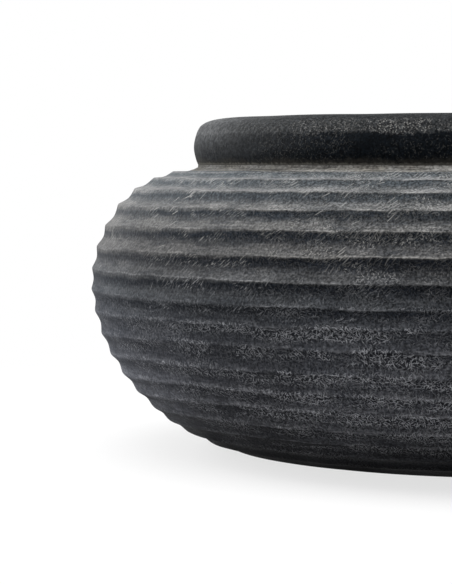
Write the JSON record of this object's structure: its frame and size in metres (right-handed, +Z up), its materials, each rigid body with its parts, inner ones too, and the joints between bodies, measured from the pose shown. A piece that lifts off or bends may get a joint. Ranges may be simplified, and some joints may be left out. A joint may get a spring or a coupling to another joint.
{
  "type": "planter",
  "caption": "Low round planter with a bulging wall of horizontal ribs, a heavy rolled rim on a pale joint, a drained floor with a lift-out plug, and pads below.",
  "frame": {"origin": "on the planter's axis, at the ground that the pads stand on", "axes": "+Z up along the planter's axis; the pull tab of the plug lies in the XZ plane"},
  "size_m": [0.6102, 0.6102, 0.253],
  "materials": {
    "charcoal_earthenware": "unglazed, matt, dry-brushed with pale wash",
    "dark_earthenware": "unglazed, matt, dusted on top",
    "buff_lute": "rough, matt",
    "black_rubber": "matt"
  },
  "bodies": {
    "pot": {"ribbed_wall": "charcoal_earthenware", "base_slab": "charcoal_earthenware", "floor_lute": "buff_lute", "rim_ring": "dark_earthenware", "rim_lute": "buff_lute", "foot_pad_1": "black_rubber", "foot_pad_2": "black_rubber", "foot_pad_3": "black_rubber", "foot_pad_4": "black_rubber", "foot_pad_5": "black_rubber", "foot_pad_6": "black_rubber"},
    "plug": {"drain_plug": "black_rubber"}
  },
  "joints": [
    {"name": "plug_lift", "type": "slide", "parent": "pot", "child": "plug", "axis": [0, 0, 1], "range_m": [0, 0.26]}
  ]
}
